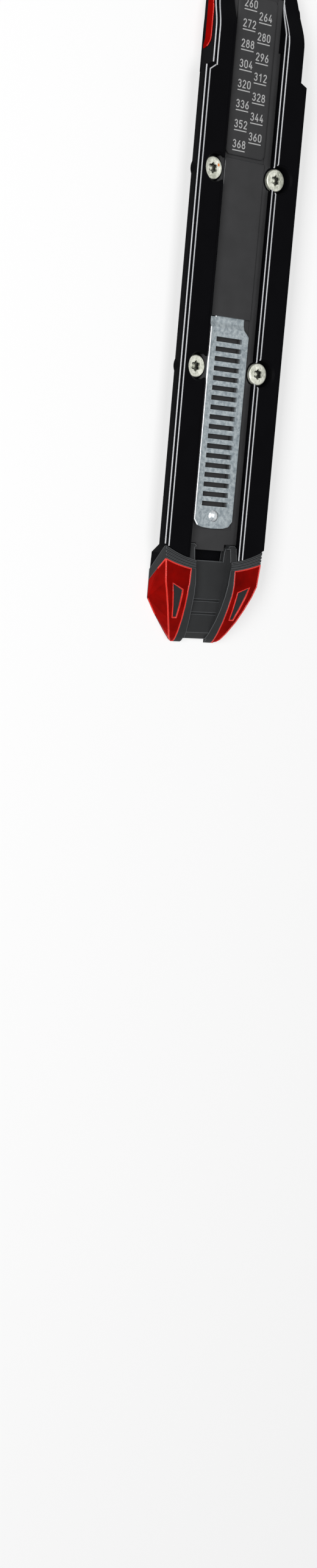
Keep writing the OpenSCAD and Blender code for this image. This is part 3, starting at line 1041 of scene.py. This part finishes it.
@dataclass(frozen=True)
class SolePlate:
    """The scale plate: a rounded rim, and two staggered columns of underlined numbers."""

    front_mm: float = 110.9
    length_mm: float = 64.0
    width_mm: float = 20.4
    low_z_mm: float = 6.7
    top_z_mm: float = 7.7
    rim_mm: float = 1.2
    rim_deg: tuple[int, ...] = (15, 30, 45, 60, 75, 90)
    corner_mm: float = 2.2
    corner_steps: int = 8
    smooth_deg: float = 40.0
    first_line_x: float = 104.86
    pitch: float = 4.0
    line_y: Spot = (7.4, 0.64)
    right_line_y: Spot = (-0.61, -7.4)
    line_over: float = 0.3
    digit_gap: float = 0.95
    digit_h: float = 3.3
    digit_w: float = 1.95
    stroke: float = 0.44
    numbers_left: tuple[int, ...] = (260, 272, 288, 304, 320, 336, 352, 368)
    numbers_right: tuple[int, ...] = (264, 280, 296, 312, 328, 344, 360)

    def build(self, materials: Materials) -> None:
        """Makes the plate and its print.

        Args:
            materials: The finished materials.
        """
        self._build_plate(materials)
        self._build_print(materials)

    def _ring(self, inset: float, z: float, bm: bmesh.types.BMesh) -> list[bmesh.types.BMVert]:
        """Adds one rounded-rectangle ring.

        Args:
            inset: Distance in from the plate's edge.
            z: Height of the ring.
            bm: The mesh that gets it.

        Returns:
            The ring's vertices, counter-clockwise.
        """
        r = self.corner_mm - inset / 2
        rear, front = self.front_mm - self.length_mm + inset + r, self.front_mm - inset - r
        side = self.width_mm / 2 - inset - r
        corners = ((front, side, 0), (rear, side, 90), (rear, -side, 180), (front, -side, 270))
        ring = []
        for cx, cy, turn in corners:
            ring += arc(cx, cy, r, r, turn, turn + 90, self.corner_steps)
        return [bm.verts.new(mm(x, y, z)) for x, y in ring]

    def _build_plate(self, materials: Materials) -> None:
        """Makes the plate with its smooth rim.

        Args:
            materials: The finished materials.
        """
        bm = bmesh.new()
        mid = (self.low_z_mm + self.top_z_mm) / 2
        steps = [(0.0, self.low_z_mm), (0.0, mid)]
        for a in map(math.radians, self.rim_deg):
            rise = (self.top_z_mm - mid) * math.sin(a)
            steps.append((self.rim_mm * (1 - math.cos(a)), mid + rise))
        rings = [self._ring(inset, z, bm) for inset, z in steps]
        for low, high in zip(rings, rings[1:]):
            for i in range(len(low)):
                k = (i + 1) % len(low)
                bm.faces.new((low[i], low[k], high[k], high[i]))
        bm.faces.new(rings[-1])
        bm.faces.new(reversed(rings[0]))
        name, finishes = "scale_plate.smooth", [materials[Slot.GREY]]
        plate = add_piece(bm, name, Body.TRACK, finishes, self.smooth_deg)
        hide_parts("scale_plate")

    def _build_print(self, materials: Materials) -> None:
        """Prints the numbers and their lines.

        Args:
            materials: The finished materials.
        """
        ink = Ribbons(self.top_z_mm, self.stroke)
        columns = ((self.numbers_left, self.line_y), (self.numbers_right, self.right_line_y))
        for offset, (numbers, (y0, y1)) in enumerate(columns):
            for i, number in enumerate(numbers):
                x = self.first_line_x - self.pitch * (2 * i + offset)
                ink.draw([(x, y0 - self.line_over), (x, y1 + self.line_over)])
                self._write(ink, str(number), x + self.digit_gap, y0, y1)
        add_piece(ink.bm, "scale_print", Body.TRACK, [materials[Extra.SCALE_INK]])

    def _write(self, ink: Ribbons, text: str, x: float, y0: float, y1: float) -> None:
        """Writes one number above its line.

        Args:
            ink: The strokes to add to.
            text: The number.
            x: Foot of the digits.
            y0: Left end of the line.
            y1: Right end of the line.
        """
        pitch = (y0 - y1 - self.digit_w) / 2
        half = self.stroke / 2
        wide, high = 2 * (self.digit_w - self.stroke), self.digit_h - self.stroke
        for i, digit in enumerate(text):
            left = y0 - i * pitch
            for stroke in DIGITS[digit]:
                ink.draw([(x + half + v * high, left - half - u * wide) for u, v in stroke])


# ---------- Screws ----------
@dataclass(frozen=True)
class SkiScrews:
    """The four flat-headed ski screws: six-lobed recess, six dimples and a coarse thread."""

    spacing: Spot = (80.0, 33.0)
    segments: int = 72
    smooth_deg: float = 32.0
    # Head, from its flat underside to its face, with a rounded edge.
    head_d: float = 9.2
    head_z: Spot = (6.7, 8.2)
    head_rim_z: float = 7.75
    edge_round: float = 0.45
    lobes: int = 6
    dimple_ring: float = 2.95
    dimple_r: float = 0.5
    dimple_deep: float = 0.06
    face_radii: tuple[float, ...] = (
        *(2.4 + 0.1 * i for i in range(12)), 3.75, 3.95, 4.15, 4.27, 4.38, 4.48, 4.55, 4.59,
    )
    # Drive recess: rings as shares of its outline, a steep wall, and a pip on its floor.
    recess_r: float = 2.05
    lobe: float = 0.3
    recess_deep: float = 1.6
    recess_rings: tuple[float, ...] = (0.12, 0.3, 0.5, 0.75, 0.94, 0.97, 1.0)
    wall_share: float = 0.06
    pip_share: float = 0.5
    pip_rise: float = 0.35
    pip_dip: float = 0.06
    # Recess faces between these radii and heights get the painted shade.
    dark_r: float = 0.9
    dark_below: float = 0.15
    dark_z: float = 4.0
    # Shank and thread; the tip tapers over its last millimetres.
    shank_d: float = 4.6
    thread_d: float = 5.5
    core_d: float = 3.9
    thread_pitch: float = 1.8
    flank_share: float = 0.28
    thread_top: float = -0.05
    thread_rings: int = 48
    tip_z: float = -8.5
    tip_len: float = 3.0
    tip_core: float = 0.15
    tip_crest: float = 0.3
    # Paint mark on the front-left head, from that screw's axis.
    mark_at: Spot = (1.5, -2.7)
    mark_path: tuple[Spot, ...] = ((-0.2, 0.0), (0.15, 0.1))
    mark_wide: float = 0.9
    mark_thick: float = 0.03

    def _face_z(self, r: float, turn: float) -> float:
        """Gives the height of the head's face.

        Args:
            r: Distance from the screw's axis.
            turn: Angle around the axis in radians.

        Returns:
            The height above the ski in millimetres.
        """
        z = self.head_z[1]
        for k in range(self.lobes):
            a = math.radians((k + 0.5) * 360 / self.lobes)
            d = math.hypot(
                r * math.cos(turn) - self.dimple_ring * math.cos(a),
                r * math.sin(turn) - self.dimple_ring * math.sin(a),
            )
            if d < self.dimple_r:
                z -= self.dimple_deep * math.sqrt(1 - (d / self.dimple_r) ** 2)
        edge = r - (self.head_d / 2 - self.edge_round)
        if edge > 0:
            z -= self.edge_round - math.sqrt(max(self.edge_round**2 - edge**2, 0))
        return z

    def _recess(self, share: float, turn: float) -> Point:
        """Places a point in the lobed recess.

        Args:
            share: Distance from the axis as a share of the recess's outline.
            turn: Angle around the axis in radians.

        Returns:
            The point; the floor rises to a small pip in the middle.
        """
        r = share * (self.recess_r + self.lobe * math.cos(self.lobes * turn))
        wall = min((1 - share) / self.wall_share, 1.0)
        pip = 1 - self.pip_rise * max(1 - share / self.pip_share, 0)
        return polar(r, turn, self.head_z[1] - self.recess_deep * wall * pip)

    def _thread_r(self, z: float, turn: float) -> float:
        """Gives the thread's radius.

        Args:
            z: Height, below the ski's face.
            turn: Angle around the axis in radians.

        Returns:
            The radius in millimetres.
        """
        phase = (z / self.thread_pitch - turn / (2 * math.pi)) % 1.0
        crest = max(1 - abs(phase - 0.5) / self.flank_share, 0.0)
        tip = min((z - self.tip_z) / self.tip_len, 1.0)
        core = self.core_d / 2 * (self.tip_core + (1 - self.tip_core) * tip)
        return core + (self.thread_d - self.core_d) / 2 * crest * min(1.0, self.tip_crest + tip)

    def _rows(self) -> list[list[Point]]:
        """Lists one screw's rings, from the middle of its face down to its tip.

        Returns:
            Rings of points in millimetres.
        """
        turns = [2 * math.pi * i / self.segments for i in range(self.segments)]
        rows = [[self._recess(share, t) for t in turns] for share in self.recess_rings]
        rows += [[polar(r, t, self._face_z(r, t)) for t in turns] for r in self.face_radii]
        head_r, shank_r, under = self.head_d / 2, self.shank_d / 2, self.head_z[0]
        for r, z in ((head_r, self.head_rim_z), (head_r, under), (shank_r, under), (shank_r, 0.0)):
            rows.append([polar(r, t, z) for t in turns])
        for i in range(self.thread_rings + 1):
            z = self.thread_top + (self.tip_z - self.thread_top) * i / self.thread_rings
            rows.append([polar(self._thread_r(z, t), t, z) for t in turns])
        return rows

    def _is_dark(self, face: bmesh.types.BMFace) -> bool:
        """Tells whether a face lies down in a recess, where the shade is painted.

        Args:
            face: The face.

        Returns:
            True for the recess's wall and floor, except the pip.
        """
        at = face.calc_center_median()
        dx, dy = abs(at.x) / MM - self.spacing[0] / 2, abs(at.y) / MM - self.spacing[1] / 2
        inside = self.dark_r < math.hypot(dx, dy) < self.recess_r + self.lobe
        highest = max(vert.co.z for vert in face.verts) / MM
        return inside and highest < self.head_z[1] - self.dark_below and at.z / MM > self.dark_z

    def build(self, materials: Materials) -> None:
        """Makes the four screws as one piece and the paint mark on one head.

        Args:
            materials: The finished materials.
        """
        bm = bmesh.new()
        rows = self._rows()
        for sx, sy in ((1, 1), (1, -1), (-1, 1), (-1, -1)):
            ox, oy = sx * self.spacing[0] / 2, sy * self.spacing[1] / 2
            rings = [[bm.verts.new(mm(x + ox, y + oy, z)) for x, y, z in row] for row in rows]
            middle = bm.verts.new(mm(ox, oy, rows[0][0][2] - self.pip_dip))
            tip = bm.verts.new(mm(ox, oy, self.tip_z))
            for i in range(self.segments):
                k = (i + 1) % self.segments
                bm.faces.new((middle, rings[0][i], rings[0][k]))
                bm.faces.new((rings[-1][i], tip, rings[-1][k]))
                for high, low in zip(rings, rings[1:]):
                    bm.faces.new((high[i], low[i], low[k], high[k]))
        bmesh.ops.recalc_face_normals(bm, faces=bm.faces)
        for face in bm.faces:
            # Faces down in the recess get the painted shade, a nearly black zinc.
            face.material_index = int(self._is_dark(face))
        finishes = [materials[Slot.SCREW], materials[Extra.RECESS]]
        piece = add_piece(bm, "ski_screws", Body.TRACK, finishes, self.smooth_deg)
        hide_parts("mounting_screws")
        x, y = self.spacing[0] / 2 + self.mark_at[0], self.spacing[1] / 2 + self.mark_at[1]
        mark = Ribbons(self.head_z[1], self.mark_wide, self.mark_thick)
        mark.draw([(x + dx, y + dy) for dx, dy in self.mark_path])
        paint = [materials[Extra.MARK_PAINT]]
        add_piece(mark.bm, "screw_paint_mark", Body.TRACK, paint)


# ---------- The whole object ----------
@dataclass(frozen=True)
class Track:
    """The fixed body: rails with their channel, rack and side inserts."""

    cover: ChannelCover = ChannelCover()
    # The beads on the rails' and the rack's edges that face the key light are painted highlights.
    rails: PlainNode = PlainNode("track_body", Slot.BLACK, beads=Beads(
        Extra.BLACK_EDGE, 0.3, sunk=0.45, least_deg=55, least_len_mm=0.05,
        reach=(0.6, 1.0), lit_side=0.6, above_z_mm=7.55,
    ))
    rack: PlainNode = PlainNode("rack_strip", Slot.ZINC, beads=Beads(
        Extra.ZINC_EDGE, 0.42, sunk=0.65, least_len_mm=2.2, reach=(0.6, 1.0), lit_side=0.4,
    ))
    liner: PlainNode = PlainNode("channel_liner", Slot.GREY)
    rivet: PlainNode = PlainNode("rack_rivet", Slot.RIVET)
    left_insert: SideInsert = SideInsert(
        "side_insert_left", Beads(Extra.RED_EDGE, 0.25, reach=(0.3, 1.0))
    )
    right_insert: SideInsert = SideInsert("side_insert_right")

    def build(self, materials: Materials) -> None:
        """Builds the track's pieces.

        Args:
            materials: The finished materials.
        """
        for piece in (
            self.cover, self.rails, self.rack, self.liner, self.rivet,
            self.left_insert, self.right_insert,
        ):
            piece.build(materials)


@dataclass(frozen=True)
class TailCap:
    """The cap that pulls off to the rear: its ribbed core, two red lenses and their pads."""

    # The grey beads paint highlight lines on the core's and pads' edges; the red beads paint
    # highlights and a glow on the lenses' upper edges.
    core_beads: Beads = Beads(Extra.GREY_EDGE, 0.17, least_deg=28, least_len_mm=0.8)
    lens_beads: Beads = Beads(Extra.RED_EDGE, 0.36, least_deg=35, reach=(0.1, 1.0))
    pad_beads: Beads = Beads(Extra.GREY_EDGE, 0.12)

    def build(self, materials: Materials) -> None:
        """Builds the cap's pieces.

        Args:
            materials: The finished materials.
        """
        rows = (
            ("cap_core", Slot.CAP, self.core_beads),
            ("tail_lens_left", Slot.RED, self.lens_beads),
            ("tail_lens_right", Slot.RED, self.lens_beads),
            ("lens_pad_left", Slot.PAD, self.pad_beads),
            ("lens_pad_right", Slot.PAD, self.pad_beads),
        )
        for node, slot, beads in rows:
            PlainNode(node, slot, Body.CAP, beads).build(materials)


def main() -> None:
    """Builds the whole scene."""
    logging.basicConfig(level=logging.INFO)
    bpy.context.scene.view_settings.view_transform = "Standard"
    Camera().build()
    Studio().build()
    materials = {key: finish.make() for key, finish in FINISHES.items()}
    for part in (Track(), TailCap(), NoseLine(), SolePlate(), SkiScrews()):
        part.build(materials)


if __name__ == "__main__":
    main()
